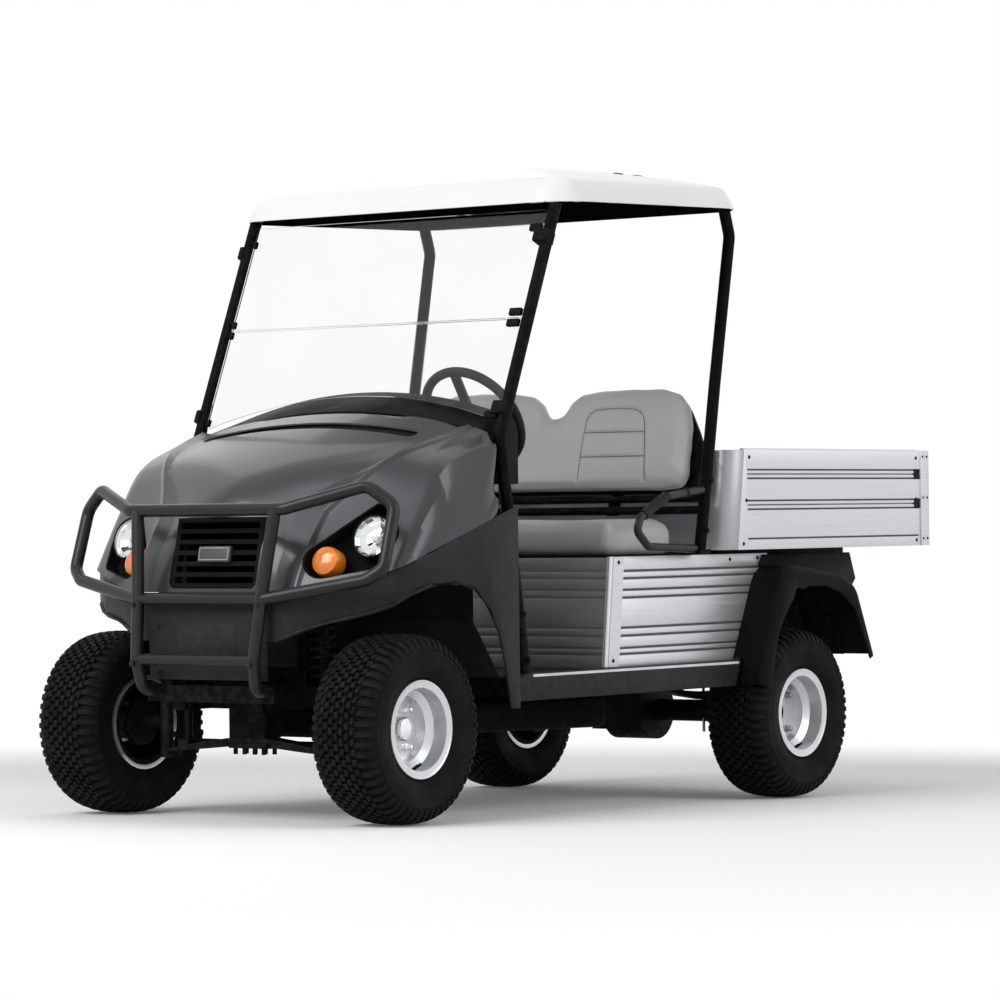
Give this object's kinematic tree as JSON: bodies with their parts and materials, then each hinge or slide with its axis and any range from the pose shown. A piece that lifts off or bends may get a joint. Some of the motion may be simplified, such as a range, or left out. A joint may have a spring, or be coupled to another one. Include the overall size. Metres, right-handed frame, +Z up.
{
  "type": "utility vehicle",
  "caption": "Open utility vehicle with a bench seat, moulded canopy, split windshield, tube brush guard and a ribbed aluminium dump bed with a drop tailgate.",
  "frame": {"origin": "on the ground under the middle of the overall length and width", "axes": "+Z up, front towards -Y, +X the vehicle's left side"},
  "size_m": [1.38, 3.1081, 2.0343],
  "materials": {
    "frame_black": "satin",
    "dark_steel": "satin",
    "body_grey": "metallic gloss",
    "clear_lens": "clear",
    "amber_lens": "translucent",
    "red_lens": "translucent",
    "black_plastic": "grained",
    "dark_plastic": "grained",
    "guard_black": "gloss",
    "floor_black": "ribbed mat",
    "wheel_grip": "grained",
    "aluminium": "brushed",
    "seat_vinyl": "grained vinyl",
    "roof_white": "gloss",
    "roof_liner": "matte",
    "glass": "clear",
    "tyre": "matte",
    "wheel_silver": "satin"
  },
  "bodies": {
    "chassis": {"frame_rails": "frame_black", "frame_crossmembers": "frame_black", "bed_supports": "frame_black", "front_crossmember": "frame_black", "front_leaf_spring": "dark_steel", "control_arms": "frame_black", "dampers": "dark_steel", "rear_axle": "dark_steel", "rear_leaf_springs": "dark_steel", "engine_block": "dark_steel", "front_body": "body_grey", "headlamps": "clear_lens", "amber_lamps": "amber_lens", "lamp_bezels": "black_plastic", "grille": "black_plastic", "front_fascia": "dark_plastic", "brush_guard": "guard_black", "floor_pan": "floor_black", "side_sills": "black_plastic", "dashboard": "black_plastic", "steering_column": "black_plastic", "pedals": "frame_black", "side_panels": "aluminium", "seat_box": "aluminium", "seat_cushion": "seat_vinyl", "seat_back": "seat_vinyl", "seat_frame": "frame_black", "hip_restraints": "guard_black", "canopy_struts": "guard_black", "roof": "roof_white", "roof_liner": "roof_liner", "windshield": "glass", "windshield_clips": "black_plastic", "rear_fenders": "black_plastic", "tail_lamps": "red_lens"},
    "knuckle_left": {"knuckle_left": "dark_steel"},
    "knuckle_right": {"knuckle_right": "dark_steel"},
    "tie_rod": {"tie_rod": "dark_steel"},
    "steering_wheel": {"steering_wheel": "wheel_grip"},
    "bed": {"bed_floor": "aluminium", "bed_sides": "aluminium", "bed_front": "aluminium"},
    "tailgate": {"tailgate": "aluminium"},
    "wheel_front_left": {"wheel_front_left": "wheel_silver", "tyre_front_left": "tyre"},
    "wheel_front_right": {"wheel_front_right": "wheel_silver", "tyre_front_right": "tyre"},
    "wheel_rear_left": {"wheel_rear_left": "wheel_silver", "tyre_rear_left": "tyre"},
    "wheel_rear_right": {"wheel_rear_right": "wheel_silver", "tyre_rear_right": "tyre"}
  },
  "joints": [
    {"name": "bed_tilt", "type": "hinge", "parent": "chassis", "child": "bed", "pos_m": [0, 1.15724, 0.79453], "axis": [-1, 0, 0], "range_deg": [0, 45]},
    {"name": "tailgate_hinge", "type": "hinge", "parent": "bed", "child": "tailgate", "pos_m": [0, 1.52809, 0.85512], "axis": [-1, 0, 0], "range_deg": [0, 90]},
    {"name": "steering_turn", "type": "hinge", "parent": "chassis", "child": "steering_wheel", "pos_m": [0.293, -0.5866, 1.21001], "axis": [0, 0.8274, 0.5616], "range_deg": [-360, 360]},
    {"name": "steer_left", "type": "hinge", "parent": "chassis", "child": "knuckle_left", "pos_m": [0.352, -1.2755, 0.279], "axis": [0, -0.0204, 0.9998], "range_deg": [-30.5, 30.5]},
    {"name": "steer_right", "type": "hinge", "parent": "chassis", "child": "knuckle_right", "pos_m": [-0.352, -1.2755, 0.279], "axis": [0, -0.0204, 0.9998], "range_deg": [-30.5, 30.5]},
    {"name": "tie_rod_shift", "type": "slide", "parent": "chassis", "child": "tie_rod", "axis": [1, 0, 0], "range_m": [-0.059, 0.059]},
    {"name": "spin_front_left", "type": "hinge", "parent": "knuckle_left", "child": "wheel_front_left", "pos_m": [0.536, -1.2755, 0.279], "axis": [1, 0, 0], "continuous": true},
    {"name": "spin_front_right", "type": "hinge", "parent": "knuckle_right", "child": "wheel_front_right", "pos_m": [-0.536, -1.2755, 0.279], "axis": [1, 0, 0], "continuous": true},
    {"name": "spin_rear_left", "type": "hinge", "parent": "chassis", "child": "wheel_rear_left", "pos_m": [0.561, 0.7055, 0.279], "axis": [1, 0, 0], "continuous": true},
    {"name": "spin_rear_right", "type": "hinge", "parent": "chassis", "child": "wheel_rear_right", "pos_m": [-0.561, 0.7055, 0.279], "axis": [1, 0, 0], "continuous": true}
  ],
  "couplings": [
    {"joint": "steer_left", "follows": "steering_turn", "ratio": 0.083333},
    {"joint": "steer_right", "follows": "steering_turn", "ratio": 0.083333},
    {"joint": "tie_rod_shift", "follows": "steering_turn", "m_per_rad": -0.00915}
  ]
}
